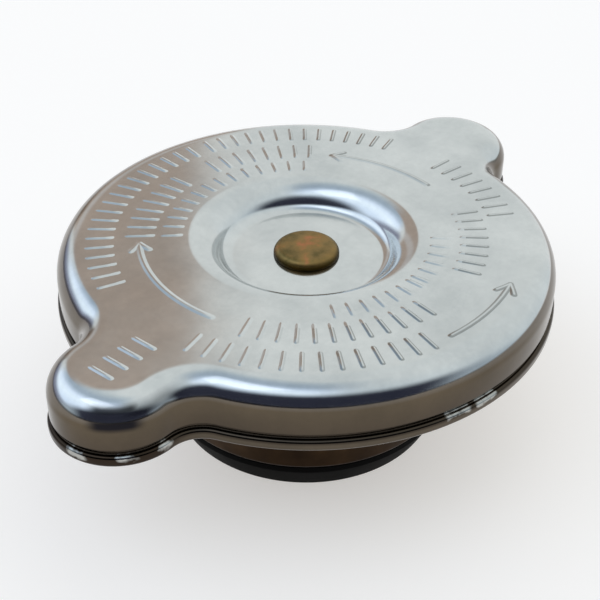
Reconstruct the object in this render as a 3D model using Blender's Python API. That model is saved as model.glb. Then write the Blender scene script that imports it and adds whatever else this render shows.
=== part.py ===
"""Two-eared radiator cap of pressed sheet steel, standing on its pressure gasket.

Metres, +Z up along the cap's own axis, +X towards one ear, origin in the middle of the pressure gasket's
lower face. The cap is sized from the filler neck that it closes: the neck's bore and rim set every radius,
and the pieces are stacked upwards from the gasket's lower face.
"""

from math import atan2, cos, pi, radians, sin, sqrt, tau

import bmesh
import bpy
from mathutils import Matrix, Vector

MM = 0.001

# The filler neck that the cap closes
NECK_BORE = 20.0 * MM
SEAL_LAND = 5.3 * MM
NECK_RIM_WIDTH = 8.7 * MM
NECK_RIM_DEPTH = 1.7 * MM
RIM_CLEARANCE = 0.6 * MM

# Gaps: between pieces clamped together, and between pieces that slide or turn
SEAT_GAP = 0.25 * MM
RUNNING_GAP = 0.35 * MM

# Sheet and plate
COVER_SHEET = 0.9 * MM
LOCK_SHEET = 1.0 * MM
DIAPHRAGM_SHEET = 0.3 * MM
CAGE_SHEET = 0.8 * MM
CUP_SHEET = 0.7 * MM
SEAT_SHEET = 0.6 * MM

# Pressure valve
VALVE_LIFT = 3.0 * MM
LIFT_MARGIN = 0.6 * MM
GASKET_THICKNESS = 4.0 * MM
GASKET_WEB = 1.5 * MM
GASKET_LAND = 6.3 * MM
GASKET_BEVEL = 1.3 * MM
GASKET_FOOT_BEVEL = 0.5 * MM
CUP_BORE_GAP = 0.5 * MM
CUP_CORNER = 1.2 * MM
CLAW_REACH = 1.8 * MM
CLAW_COUNT = 4
CLAW_ANGLE = radians(34)
CLAW_NOTCH_DEPTH = 1.2 * MM

# Spring cage
CAGE_FLANGE = 1.9 * MM
CAGE_SHOULDER = 2.2 * MM
WINDOW_COUNT = 6
WINDOW_WIDTH = 7.0 * MM
WINDOW_HEIGHT = 4.2 * MM
WINDOW_SILL = 3.3 * MM
STEM_CLEARANCE = 1.2 * MM

# Pressure spring
SPRING_WIRE = 1.6 * MM
SPRING_SIDE_GAP = 1.8 * MM
SPRING_TURNS = 5
CLOSED_PITCH = 1.06

# Valve seat
SEAT_BORE = 7.1 * MM
SEAT_ROUND = 0.5 * MM
VENT_COUNT = 6
VENT_RADIUS = 1.1 * MM
VENT_CIRCLE = 4.4 * MM
RETAINER_WIDTH = 1.8 * MM
RETAINER_THICKNESS = 0.7 * MM

# Vacuum valve
VACUUM_SEAL_THICKNESS = 0.9 * MM
VACUUM_DISC_THICKNESS = 0.6 * MM
STEM_RADIUS = 0.9 * MM
STEM_HEAD_HEIGHT = 0.5 * MM
STEM_HEAD = 1.6 * MM
VACUUM_WIRE = 0.45 * MM
VACUUM_SPRING_SIDE_GAP = 0.9 * MM
VACUUM_SPRING_LENGTH = 3.7 * MM
VACUUM_SPRING_TURNS = 4
SPRING_CAP_OVERHANG = 0.7 * MM
SPRING_CAP_THICKNESS = 0.4 * MM

# Neck gasket and diaphragm
GASKET_LAND_THICKNESS = 1.3 * MM
GASKET_WEB_THICKNESS = 1.0 * MM
GASKET_HOLE = 5.0 * MM
GASKET_RISE = 2.3 * MM
CLAMP_MARGIN = 2.9 * MM
BEND = 0.8 * MM
DIAPHRAGM_CURL = 0.8 * MM

# Centre rivet
RIVET_SHANK = 2.9 * MM
RIVET_HEAD = 4.3 * MM
RIVET_HEAD_FLAT = 3.4 * MM
RIVET_HEAD_HEIGHT = 1.1 * MM
RIVET_FOOT = 4.5 * MM
RIVET_FOOT_HEIGHT = 1.1 * MM
RIVET_SOFTENING = 0.25 * MM
WASHER_RADIUS = 6.2 * MM
WASHER_THICKNESS = 0.8 * MM

# Locking plate
LUG_ANGLE = radians(48)
LUG_REACH = 3.8 * MM
LUG_LEAD_ANGLE = radians(9)
LUG_LEAD_DROP = 0.3 * MM

# Cover
DISH_FLOOR = 9.6 * MM
DISH_DEPTH = 3.2 * MM
DISH_SHOULDER = 4.0 * MM
DISH_FILLET = 0.8 * MM
DISH_SLOPE = radians(54)
TOP_EDGE = 3.3 * MM
SKIRT_BELOW_LUGS = 0.6 * MM
HEM_HEIGHT = 1.3 * MM
HEM_OUTSET = 0.35 * MM
EAR_RADIUS = 7.8 * MM
EAR_STANDOFF = 2.2 * MM
EAR_FILLET = 4.5 * MM

# Radii, from the neck's bore inwards, then outwards to the ears
CUP_RADIUS = NECK_BORE - CUP_BORE_GAP
CAGE_FLANGE_RADIUS = CUP_RADIUS - CUP_SHEET - RUNNING_GAP
CAGE_RADIUS = CAGE_FLANGE_RADIUS - CAGE_FLANGE
SPRING_RADIUS = CAGE_RADIUS - CAGE_SHEET - SPRING_SIDE_GAP - SPRING_WIRE / 2
SEAT_NECK = SEAT_BORE + SEAT_SHEET
VACUUM_SPRING_RADIUS = STEM_RADIUS + VACUUM_SPRING_SIDE_GAP + VACUUM_WIRE / 2
RIVET_HOLE = RIVET_SHANK + SEAT_GAP
CLAMP_RADIUS = DISH_FLOOR + CLAMP_MARGIN
SEAL_RADIUS = NECK_BORE + SEAL_LAND
LOCK_INNER = NECK_BORE + NECK_RIM_WIDTH + RIM_CLEARANCE
LOCK_RADIUS = LOCK_INNER + LOCK_SHEET
BODY_RADIUS = LOCK_RADIUS + SEAT_GAP + COVER_SHEET
EAR_CENTRE = BODY_RADIUS + EAR_STANDOFF

# Levels of the pressure valve, upwards from the gasket's lower face
SEAT_LEVEL = GASKET_THICKNESS - GASKET_WEB - SEAT_GAP - SEAT_SHEET
CUP_LEVEL = GASKET_THICKNESS + SEAT_GAP
CUP_FLOOR_TOP = CUP_LEVEL + CUP_SHEET
RETAINER_LEVEL = CUP_FLOOR_TOP + SEAT_GAP
CROWN_LEVEL = RETAINER_LEVEL + RETAINER_THICKNESS
CAGE_LEVEL = CUP_FLOOR_TOP + VALVE_LIFT + LIFT_MARGIN
CLAW_LEVEL = CAGE_LEVEL + CAGE_SHEET + RUNNING_GAP

# Levels of the vacuum valve, from under the seat's crown to the top of its stem
VACUUM_SEAL_LEVEL = CROWN_LEVEL - SEAT_GAP - VACUUM_SEAL_THICKNESS
VACUUM_DISC_LEVEL = VACUUM_SEAL_LEVEL - SEAT_GAP - VACUUM_DISC_THICKNESS
VACUUM_SPRING_LEVEL = CROWN_LEVEL + SEAT_SHEET + SEAT_GAP
SPRING_CAP_LEVEL = VACUUM_SPRING_LEVEL + VACUUM_SPRING_LENGTH + SEAT_GAP
STEM_NECK_LEVEL = SPRING_CAP_LEVEL + SPRING_CAP_THICKNESS + SEAT_GAP
STEM_TOP = STEM_NECK_LEVEL + STEM_HEAD_HEIGHT

# Levels above the valves, each piece standing on the one before
RIVET_FOOT_LEVEL = STEM_TOP + VALVE_LIFT + STEM_CLEARANCE
WASHER_LEVEL = RIVET_FOOT_LEVEL + RIVET_FOOT_HEIGHT + SEAT_GAP
CAGE_ROOF_LEVEL = WASHER_LEVEL + WASHER_THICKNESS + SEAT_GAP
CAGE_TOP = CAGE_ROOF_LEVEL + CAGE_SHEET
GASKET_LEVEL = CAGE_TOP + SEAT_GAP
LOCK_LEVEL = GASKET_LEVEL + GASKET_WEB_THICKNESS + SEAT_GAP + DIAPHRAGM_SHEET + SEAT_GAP
DISH_LEVEL = LOCK_LEVEL + LOCK_SHEET + SEAT_GAP + COVER_SHEET
TOP_LEVEL = DISH_LEVEL + DISH_DEPTH
NECK_RIM_LEVEL = GASKET_LEVEL + GASKET_RISE
LUG_TOP_LEVEL = NECK_RIM_LEVEL - NECK_RIM_DEPTH
SKIRT_LEVEL = LUG_TOP_LEVEL - LOCK_SHEET - SKIRT_BELOW_LUGS

# Facets
SIDES = 36
SMALL_SIDES = 24
COVER_ARC_STEP = radians(24)
ARC_STEP = radians(36)
SHARP_ANGLE = radians(35)


def clear_scene():
    for obj in list(bpy.data.objects):
        bpy.data.objects.remove(obj)


def material(name, colour, roughness, metallic):
    made = bpy.data.materials.new(name)
    made.use_nodes = True
    shader = made.node_tree.nodes["Principled BSDF"]
    shader.inputs["Base Color"].default_value = (*colour, 1.0)
    shader.inputs["Roughness"].default_value = roughness
    shader.inputs["Metallic"].default_value = metallic
    return made


def empty(name, parent=None):
    made = bpy.data.objects.new(name, None)
    bpy.context.collection.objects.link(made)
    made.parent = parent
    return made


def mesh_object(name, bm, surface, parent, level=0.0):
    """Closes the bmesh into a smooth-shaded object that stands at its own level on the cap's axis."""
    bmesh.ops.recalc_face_normals(bm, faces=bm.faces)
    mesh = bpy.data.meshes.new(name)
    bm.to_mesh(mesh)
    bm.free()
    mesh.shade_smooth()
    mesh.set_sharp_from_angle(angle=SHARP_ANGLE)
    made = bpy.data.objects.new(name, mesh)
    bpy.context.collection.objects.link(made)
    made.location.z = level
    made.parent = parent
    if surface:
        mesh.materials.append(surface)
    return made


def arc(centre, radius, start, end, step=ARC_STEP):
    """Points (r, z) along an arc, at most about a step apart; the angles run from the outward radius."""
    count = max(1, round(abs(end - start) / step))
    angles = [start + (end - start) * k / count for k in range(count + 1)]
    return [(centre[0] + radius * cos(a), centre[1] + radius * sin(a)) for a in angles]


def offset(path, distance):
    """The path moved sideways to its left by a distance, with mitred corners."""
    moved = []
    for k, (r, z) in enumerate(path):
        ways = []
        if k > 0:
            ways.append(Vector((r - path[k - 1][0], z - path[k - 1][1])).normalized())
        if k < len(path) - 1:
            ways.append(Vector((path[k + 1][0] - r, path[k + 1][1] - z)).normalized())
        way = sum(ways, Vector((0, 0))).normalized()
        reach = distance / way.dot(ways[0])
        moved.append((r - way.y * reach, z + way.x * reach))
    return moved


def sheet_section(path, thickness):
    """The closed section of a sheet whose one face follows the path; its thickness is on the path's left."""
    return path + offset(path, thickness)[::-1]


def turned(name, section, surface, parent, level=0.0, sides=SIDES):
    """A solid of revolution. A section that starts and ends on the axis is left open there."""
    bm = bmesh.new()
    corners = [bm.verts.new((r, 0, z)) for r, z in section]
    edges = [bm.edges.new(pair) for pair in zip(corners, corners[1:])]
    if section[0][0] > 0:
        edges.append(bm.edges.new((corners[-1], corners[0])))
    bmesh.ops.spin(bm, geom=corners + edges, axis=(0, 0, 1), angle=tau, steps=sides, use_merge=True)
    bmesh.ops.remove_doubles(bm, verts=bm.verts, dist=1e-7)
    return mesh_object(name, bm, surface, parent, level)


def washer_section(inner, outer, thickness):
    return [(inner, 0), (outer, 0), (outer, thickness), (inner, thickness)]


def cutter(name, bm, target, operation="DIFFERENCE"):
    """Cuts the bmesh's shape out of the target, or joins it on, as a Boolean with a hidden helper."""
    helper = mesh_object(name, bm, None, None)
    helper.hide_render = True
    helper.display_type = "WIRE"
    boolean = target.modifiers.new(name, "BOOLEAN")
    boolean.operation = operation
    boolean.object = helper


def ring_sector(bm, inner, outer, low, high, middle, width, steps=4, drop=None):
    """Adds a block along a ring, from inner to outer, over an angle; drop(share) lowers it along its length."""
    rows = []
    for k in range(steps + 1):
        share = k / steps
        angle = middle + width * (share - 0.5)
        fall = drop(share) if drop else 0.0
        corners = [(inner, low), (outer, low), (outer, high), (inner, high)]
        rows.append([bm.verts.new((r * cos(angle), r * sin(angle), z - fall)) for r, z in corners])
    for first, second in zip(rows, rows[1:]):
        for k in range(4):
            bm.faces.new((first[k], first[(k + 1) % 4], second[(k + 1) % 4], second[k]))
    bm.faces.new(rows[0][::-1])
    bm.faces.new(rows[-1])


def coil(name, radius, wire, low, high, turns, steps, surface, parent):
    """A compression spring with closed end turns, its wire's outside reaching from low to high."""
    closed = wire * CLOSED_PITCH
    pitch = (high - low - wire - 2 * closed) / (turns - 2)
    curve = bpy.data.curves.new(name, "CURVE")
    curve.dimensions = "3D"
    curve.bevel_depth = wire / 2
    curve.bevel_resolution = 2
    curve.use_fill_caps = True
    spline = curve.splines.new("POLY")
    spline.points.add(turns * steps)
    for k, point in enumerate(spline.points):
        turn = k / steps
        rise = closed * min(turn, 1)
        rise += pitch * min(max(turn - 1, 0), turns - 2)
        rise += closed * max(turn + 1 - turns, 0)
        point.co = (radius * cos(tau * turn), radius * sin(tau * turn), low + wire / 2 + rise, 1)
    curve.materials.append(surface)
    made = bpy.data.objects.new(name, curve)
    bpy.context.collection.objects.link(made)
    made.parent = parent
    return made


# The cover


def outline_arcs():
    """Half of the cover's plan, as (centre, radius, start, end, points, side); a hollow arc's side is -1."""
    fillet_reach = BODY_RADIUS + EAR_FILLET
    ear_reach = EAR_RADIUS + EAR_FILLET
    x = (fillet_reach**2 - ear_reach**2 + EAR_CENTRE**2) / (2 * EAR_CENTRE)
    y = sqrt(fillet_reach**2 - x**2)
    on_body = atan2(y, x)
    on_ear = atan2(y, x - EAR_CENTRE)
    return [
        ((EAR_CENTRE, 0), EAR_RADIUS, -on_ear, on_ear, 12, 1),
        ((x, y), EAR_FILLET, on_ear + pi, on_body + pi, 2, -1),
        ((0, 0), BODY_RADIUS, on_body, pi - on_body, 18, 1),
        ((-x, y), EAR_FILLET, -on_body, -on_ear, 2, -1),
    ]


def outline():
    """Places round the whole outline, each with its outward direction."""
    half = []
    for centre, radius, start, end, count, side in outline_arcs():
        for k in range(count):
            angle = start + (end - start) * k / count
            way = Vector((cos(angle), sin(angle)))
            half.append((Vector(centre) + way * radius, way * side))
    return half + [(-place, -way) for place, way in half]


def pressed_path(inset, step):
    """The cover's outer face moved in by an inset, as (r, z) from the top's edge in to the rivet hole."""
    edge_centre = (BODY_RADIUS - TOP_EDGE, TOP_LEVEL - TOP_EDGE)
    edge = arc(edge_centre, TOP_EDGE - inset, 0, pi / 2, step)
    turn = 1 - cos(DISH_SLOPE)
    wall = (DISH_DEPTH - (DISH_SHOULDER + DISH_FILLET) * turn) / sin(DISH_SLOPE)
    rim = DISH_FLOOR + (DISH_SHOULDER + DISH_FILLET) * sin(DISH_SLOPE) + wall * cos(DISH_SLOPE)
    shoulder_centre = (rim, TOP_LEVEL - DISH_SHOULDER)
    shoulder = arc(shoulder_centre, DISH_SHOULDER - inset, pi / 2, pi / 2 + DISH_SLOPE, step)
    fillet_centre = (DISH_FLOOR, DISH_LEVEL + DISH_FILLET)
    fillet = arc(fillet_centre, DISH_FILLET + inset, DISH_SLOPE - pi / 2, -pi / 2, step)
    return edge + shoulder + fillet + [(RIVET_HOLE, DISH_LEVEL - inset)]


def cover(surface, parent):
    """The pressed cover: its section runs round the body like a turned piece's, and the ears draw it out."""
    hem = [
        (BODY_RADIUS + HEM_OUTSET, SKIRT_LEVEL),
        (BODY_RADIUS + HEM_OUTSET, SKIRT_LEVEL + HEM_HEIGHT - HEM_OUTSET),
        (BODY_RADIUS, SKIRT_LEVEL + HEM_HEIGHT),
    ]
    section = sheet_section(hem + pressed_path(0, COVER_ARC_STEP), COVER_SHEET)
    ring = outline()
    flat_edge = BODY_RADIUS - TOP_EDGE
    bm = bmesh.new()
    rows = []
    for r, z in section:
        if r > (flat_edge + CLAMP_RADIUS) / 2:
            spots = [place - way * (BODY_RADIUS - r) for place, way in ring]
        else:
            spots = [(place - way * TOP_EDGE).normalized() * r for place, way in ring]
        rows.append([bm.verts.new((*spot, z)) for spot in spots])
    for lower, upper in zip(rows, rows[1:] + rows[:1]):
        for k in range(len(ring)):
            after = (k + 1) % len(ring)
            bm.faces.new((lower[k], lower[after], upper[after], upper[k]))
    return mesh_object("cover", bm, surface, parent)


# The locking plate, diaphragm and neck gasket, under the cover


def locking_plate(surface, parent):
    """A pan pressed to the shape of the cover's underside, with two bayonet lugs turned in from its rim."""
    rim = [(LOCK_RADIUS, LUG_TOP_LEVEL - LOCK_SHEET)]
    path = rim + pressed_path(COVER_SHEET + SEAT_GAP, ARC_STEP)
    plate = turned("locking_plate", sheet_section(path, LOCK_SHEET), surface, parent)
    bm = bmesh.new()

    def lead(share):
        return LUG_LEAD_DROP * max(0.0, 1 - share * LUG_ANGLE / LUG_LEAD_ANGLE)

    low = LUG_TOP_LEVEL - LOCK_SHEET
    inner = LOCK_INNER - LUG_REACH
    for side in (0, pi):
        ring_sector(bm, inner, LOCK_INNER + LOCK_SHEET / 2, low, LUG_TOP_LEVEL, side, LUG_ANGLE, 8, lead)
    cutter("bayonet_lugs", bm, plate, "UNION")
    return plate


def gasket_top():
    """The neck gasket's upper face as (r, height): clamped flat inside, risen to a flat land on the neck."""
    rise = GASKET_RISE + GASKET_LAND_THICKNESS - GASKET_WEB_THICKNESS
    slope = rise / (NECK_BORE - CLAMP_RADIUS)
    low = GASKET_WEB_THICKNESS
    return [
        (GASKET_HOLE, low),
        (CLAMP_RADIUS - BEND, low),
        (CLAMP_RADIUS + BEND, low + slope * BEND),
        (NECK_BORE - BEND, low + rise - slope * BEND),
        (NECK_BORE + BEND, low + rise),
        (SEAL_RADIUS, low + rise),
    ]


def diaphragm(surface, parent):
    """A thin spring disc that lies on the neck gasket and curls down over its edge."""
    under = offset(gasket_top(), SEAT_GAP)
    land = under[-1][1]
    curl = SEAL_RADIUS + SEAT_GAP
    path = [(RIVET_HOLE, under[0][1])] + under[1:-1] + [(curl, land), (curl, land - DIAPHRAGM_CURL)]
    return turned("diaphragm", sheet_section(path, DIAPHRAGM_SHEET), surface, parent, GASKET_LEVEL)


def neck_gasket(surface, parent):
    """A moulded rubber disc, clamped under the diaphragm, whose thick rim lies on the filler neck."""
    under = [
        (GASKET_HOLE, 0),
        (CLAMP_RADIUS + BEND, 0),
        (NECK_BORE + BEND / 2, GASKET_RISE),
        (SEAL_RADIUS - BEND / 2, GASKET_RISE),
        (SEAL_RADIUS, GASKET_RISE + BEND / 2),
    ]
    return turned("neck_gasket", under + gasket_top()[::-1], surface, parent, GASKET_LEVEL)


# The rivet through the middle, and the cage that turns on it


def centre_rivet(surface, parent):
    head = DISH_LEVEL + SEAT_GAP
    top = head + RIVET_HEAD_HEIGHT
    shoulder = RIVET_FOOT_LEVEL + RIVET_FOOT_HEIGHT
    section = [
        (0, RIVET_FOOT_LEVEL),
        (RIVET_FOOT - 2 * RIVET_SOFTENING, RIVET_FOOT_LEVEL),
        (RIVET_FOOT, RIVET_FOOT_LEVEL + RIVET_SOFTENING),
        (RIVET_FOOT, shoulder),
        (RIVET_SHANK, shoulder),
        (RIVET_SHANK, head),
        (RIVET_HEAD, head),
        (RIVET_HEAD, head + RIVET_SOFTENING),
        (RIVET_HEAD_FLAT, top),
        (0, top),
    ]
    return turned("centre_rivet", section, surface, parent, 0, SMALL_SIDES)


def rivet_spacer(surface, parent):
    section = washer_section(RIVET_HOLE, GASKET_HOLE - SEAT_GAP, GASKET_WEB_THICKNESS)
    return turned("rivet_spacer", section, surface, parent, GASKET_LEVEL, SMALL_SIDES)


def rivet_washer(surface, parent):
    section = washer_section(RIVET_HOLE, WASHER_RADIUS, WASHER_THICKNESS)
    return turned("rivet_washer", section, surface, parent, WASHER_LEVEL, SMALL_SIDES)


def spring_cage(surface, parent):
    """A bell round the pressure spring, with steam windows and a flange that the valve cup hooks on."""
    shoulder = arc((CAGE_RADIUS - CAGE_SHOULDER, CAGE_TOP - CAGE_SHOULDER), CAGE_SHOULDER, 0, pi / 2)
    flange = [(CAGE_FLANGE_RADIUS, CAGE_LEVEL + CAGE_SHEET), (CAGE_RADIUS, CAGE_LEVEL + CAGE_SHEET)]
    path = flange + shoulder + [(RIVET_HOLE, CAGE_TOP)]
    cage = turned("spring_cage", sheet_section(path, CAGE_SHEET), surface, parent)
    middle = CAGE_LEVEL + WINDOW_SILL + WINDOW_HEIGHT / 2
    bm = bmesh.new()
    for k in range(WINDOW_COUNT):
        place = Matrix.Rotation(tau * (k + 0.5) / WINDOW_COUNT, 4, "Z")
        place @= Matrix.Translation((CAGE_RADIUS - CAGE_SHEET, 0, middle))
        place @= Matrix.Diagonal((6 * CAGE_SHEET, WINDOW_WIDTH, WINDOW_HEIGHT, 1))
        bmesh.ops.create_cube(bm, size=1, matrix=place)
    cutter("steam_windows", bm, cage)
    return cage


def pressure_spring(surface, parent):
    low = CUP_FLOOR_TOP + SEAT_GAP
    high = CAGE_ROOF_LEVEL - SEAT_GAP
    return coil("pressure_spring", SPRING_RADIUS, SPRING_WIRE, low, high, SPRING_TURNS, 14, surface, parent)


# The pressure valve: a cup hooked on the cage's flange, with its gasket and the vacuum valve's seat


def valve_cup(surface, parent):
    """A shallow cup whose claws reach in over the cage's flange, so that it can rise but not fall out."""
    rim = CLAW_LEVEL + CUP_SHEET
    corner = arc((CUP_RADIUS - CUP_CORNER, CUP_LEVEL + CUP_CORNER), CUP_CORNER, -pi / 2, 0)
    claw = CUP_RADIUS - CUP_SHEET - CLAW_REACH
    path = [(SEAT_NECK + SEAT_GAP, CUP_LEVEL)] + corner + [(CUP_RADIUS, rim), (claw, rim)]
    cup = turned("valve_cup", sheet_section(path, CUP_SHEET), surface, parent)
    notch = tau / CLAW_COUNT - CLAW_ANGLE
    bm = bmesh.new()
    for k in range(CLAW_COUNT):
        middle = tau * (k + 0.5) / CLAW_COUNT
        ring_sector(bm, claw - MM, CUP_RADIUS + MM, rim - CLAW_NOTCH_DEPTH, rim + MM, middle, notch, 6)
    cutter("claw_notches", bm, cup)
    return cup


def pressure_gasket(surface, parent):
    """The rubber ring that closes the radiator: a thick outer land, and a thin web that the seat clamps."""
    outer = CUP_RADIUS - SEAT_GAP
    land = outer - GASKET_LAND
    hole = SEAT_NECK + SEAT_GAP
    section = [
        (hole, GASKET_THICKNESS - GASKET_WEB),
        (land, GASKET_THICKNESS - GASKET_WEB),
        (land + GASKET_FOOT_BEVEL, 0),
        (outer - GASKET_BEVEL - GASKET_FOOT_BEVEL, 0),
        (outer - GASKET_BEVEL, GASKET_FOOT_BEVEL),
        (outer, GASKET_THICKNESS - GASKET_FOOT_BEVEL),
        (outer, GASKET_THICKNESS),
        (hole, GASKET_THICKNESS),
    ]
    return turned("pressure_gasket", section, surface, parent)


def valve_seat(surface, parent):
    """A brass hat pushed up through the gasket and cup: its brim holds the gasket, its crown has vents."""
    brim = CUP_RADIUS - SEAT_GAP - GASKET_LAND - SEAT_GAP
    top = CROWN_LEVEL + SEAT_SHEET
    path = [
        (brim, SEAT_LEVEL + SEAT_SHEET),
        (SEAT_NECK, SEAT_LEVEL + SEAT_SHEET),
        (SEAT_NECK, top - SEAT_ROUND),
        (SEAT_NECK - SEAT_ROUND, top),
        (STEM_RADIUS + RUNNING_GAP, top),
    ]
    seat = turned("valve_seat", sheet_section(path, SEAT_SHEET), surface, parent, 0, 32)
    bm = bmesh.new()
    for k in range(VENT_COUNT):
        angle = tau * (k + 0.5) / VENT_COUNT
        spot = (VENT_CIRCLE * cos(angle), VENT_CIRCLE * sin(angle), CROWN_LEVEL + SEAT_SHEET / 2)
        bmesh.ops.create_cone(
            bm, cap_ends=True, segments=12, radius1=VENT_RADIUS, radius2=VENT_RADIUS,
            depth=3 * SEAT_SHEET, matrix=Matrix.Translation(spot),
        )
    cutter("vent_holes", bm, seat)
    return seat


def seat_retainer(surface, parent):
    """The push-on ring that locks the seat's neck above the cup's floor."""
    inner = SEAT_NECK + SEAT_GAP
    section = washer_section(inner, inner + RETAINER_WIDTH, RETAINER_THICKNESS)
    return turned("seat_retainer", section, surface, parent, RETAINER_LEVEL, 32)


# The vacuum valve: a disc and seal under the vents, drawn up by a light spring on a stem


def vacuum_seal(surface, parent):
    section = washer_section(STEM_RADIUS + SEAT_GAP, SEAT_BORE - 2 * RUNNING_GAP, VACUUM_SEAL_THICKNESS)
    return turned("vacuum_seal", section, surface, parent, VACUUM_SEAL_LEVEL, SMALL_SIDES)


def vacuum_disc(surface, parent):
    section = washer_section(STEM_RADIUS + SEAT_GAP, SEAT_BORE - RUNNING_GAP, VACUUM_DISC_THICKNESS)
    return turned("vacuum_disc", section, surface, parent, VACUUM_DISC_LEVEL, SMALL_SIDES)


def vacuum_stem(surface, parent):
    """A pin headed under the disc and peened over above the spring cap."""
    foot = VACUUM_DISC_LEVEL - SEAT_GAP
    soft = STEM_HEAD_HEIGHT / 3
    section = [
        (0, foot - STEM_HEAD_HEIGHT),
        (STEM_HEAD - soft, foot - STEM_HEAD_HEIGHT),
        (STEM_HEAD, foot - STEM_HEAD_HEIGHT + soft),
        (STEM_HEAD, foot),
        (STEM_RADIUS, foot),
        (STEM_RADIUS, STEM_NECK_LEVEL),
        (STEM_HEAD - soft, STEM_NECK_LEVEL),
        (STEM_HEAD - 2 * soft, STEM_TOP - soft),
        (0, STEM_TOP),
    ]
    return turned("vacuum_stem", section, surface, parent, 0, 16)


def vacuum_spring(surface, parent):
    high = VACUUM_SPRING_LEVEL + VACUUM_SPRING_LENGTH
    return coil(
        "vacuum_spring", VACUUM_SPRING_RADIUS, VACUUM_WIRE, VACUUM_SPRING_LEVEL, high,
        VACUUM_SPRING_TURNS, 12, surface, parent,
    )


def vacuum_spring_cap(surface, parent):
    outer = VACUUM_SPRING_RADIUS + VACUUM_WIRE / 2 + SPRING_CAP_OVERHANG
    section = washer_section(STEM_RADIUS + SEAT_GAP, outer, SPRING_CAP_THICKNESS)
    return turned("vacuum_spring_cap", section, surface, parent, SPRING_CAP_LEVEL, 20)


def main():
    clear_scene()
    plated_steel = material("plated_steel", (0.72, 0.73, 0.73), 0.18, 1.0)
    zinc_steel = material("zinc_steel", (0.55, 0.55, 0.53), 0.4, 1.0)
    spring_steel = material("spring_steel", (0.42, 0.42, 0.42), 0.35, 1.0)
    brass = material("brass", (0.42, 0.32, 0.11), 0.38, 1.0)
    rubber = material("rubber", (0.018, 0.018, 0.018), 0.6, 0.0)

    cap = empty("cap")
    cover(plated_steel, cap)
    locking_plate(zinc_steel, cap)
    centre_rivet(brass, cap)
    rivet_spacer(zinc_steel, cap)
    rivet_washer(zinc_steel, cap)

    swivel = empty("swivel", cap)
    diaphragm(spring_steel, swivel)
    neck_gasket(rubber, swivel)
    spring_cage(zinc_steel, swivel)
    pressure_spring(spring_steel, swivel)

    pressure_valve = empty("pressure_valve", swivel)
    valve_cup(zinc_steel, pressure_valve)
    pressure_gasket(rubber, pressure_valve)
    valve_seat(brass, pressure_valve)
    seat_retainer(spring_steel, pressure_valve)
    vacuum_spring(spring_steel, pressure_valve)

    vacuum_valve = empty("vacuum_valve", pressure_valve)
    vacuum_seal(rubber, vacuum_valve)
    vacuum_disc(brass, vacuum_valve)
    vacuum_stem(brass, vacuum_valve)
    vacuum_spring_cap(brass, vacuum_valve)


main()
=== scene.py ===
"""The look of the two-eared radiator cap: bright plated pressing, brass rivet, black rubber and dull plated steel."""

from math import atan2, ceil, copysign, cos, pi, radians, sin, sqrt, tan, tau

import bmesh
import bpy
from mathutils import Matrix, Vector


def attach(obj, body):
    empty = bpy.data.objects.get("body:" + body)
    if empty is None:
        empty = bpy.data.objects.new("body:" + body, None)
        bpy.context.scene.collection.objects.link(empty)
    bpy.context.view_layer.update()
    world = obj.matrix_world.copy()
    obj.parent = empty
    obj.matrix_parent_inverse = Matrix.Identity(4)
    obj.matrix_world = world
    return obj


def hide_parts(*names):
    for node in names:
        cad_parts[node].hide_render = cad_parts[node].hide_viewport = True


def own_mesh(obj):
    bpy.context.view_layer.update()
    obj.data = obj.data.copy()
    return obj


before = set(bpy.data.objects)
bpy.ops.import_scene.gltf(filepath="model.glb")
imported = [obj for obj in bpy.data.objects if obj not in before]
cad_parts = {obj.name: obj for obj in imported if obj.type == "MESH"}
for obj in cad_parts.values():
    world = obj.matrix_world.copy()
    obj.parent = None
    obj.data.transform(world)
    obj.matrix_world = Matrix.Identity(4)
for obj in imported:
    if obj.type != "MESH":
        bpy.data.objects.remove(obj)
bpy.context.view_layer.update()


# The cover
# One pressing of bright plated sheet steel: a round pan with two hollow ears, a shallow dish for the rivet, a
# soft rounded edge and a rolled hem round its skirt. It is drawn in one stroke of a press and then plated.

MM = 0.001  # other sizes are in mm
MARK_HEIGHT = 0.14
SKIRT = 18.5
LID = 26.65
TOP = LID - MARK_HEIGHT
SHEET = 0.7
BODY = 31.45
EDGE = 3.3
EAR = 7.8
EAR_CENTRE = 33.65
EAR_FILLET = 4.5
DISH = 23.45
DISH_SLOPE = radians(61)
DISH_FLOOR = 9.6
DISH_SHOULDER = 4.2
DISH_FILLET = 1.6
RIVET_HOLE = 3.15
HEM_OUT = 0.28
HEM_HEIGHT = 1.4
GROOVE_HEIGHT = 0.75
GROOVE_DEPTH = 0.35
SUPPORT = 0.3
ARC_STEP = radians(9)
SHARP = radians(38)

# The plate's tints, the room and the lamp follow the side that the photograph was taken from.
AZIMUTH = radians(-51.81)
AWAY_LEAN = 0.12
ahead = Vector((sin(-AZIMUTH), cos(AZIMUTH), 0))
left = Vector((-ahead.y, ahead.x, 0))


def rounded(corners):
    """The closed outline through corners (r, z, radius), each turned with its own radius."""
    points = []
    for before, corner, after in zip(corners[-1:] + corners[:-1], corners, corners[1:] + corners[:1]):
        spot = Vector(corner[:2])
        radius = corner[2]
        if not radius:
            points.append(spot)
            continue
        into = (Vector(before[:2]) - spot).normalized()
        out = (Vector(after[:2]) - spot).normalized()
        half = into.angle(out) / 2
        centre = spot + (into + out).normalized() * (radius / sin(half))
        start = spot + into * (radius / tan(half)) - centre
        end = spot + out * (radius / tan(half)) - centre
        turn = copysign(pi - 2 * half, start.cross(end))
        steps = ceil(abs(turn) / ARC_STEP)
        first = atan2(start.y, start.x)
        for k in range(steps + 1):
            angle = first + turn * k / steps
            points.append(centre + Vector((cos(angle), sin(angle))) * radius)
    return points


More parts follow.
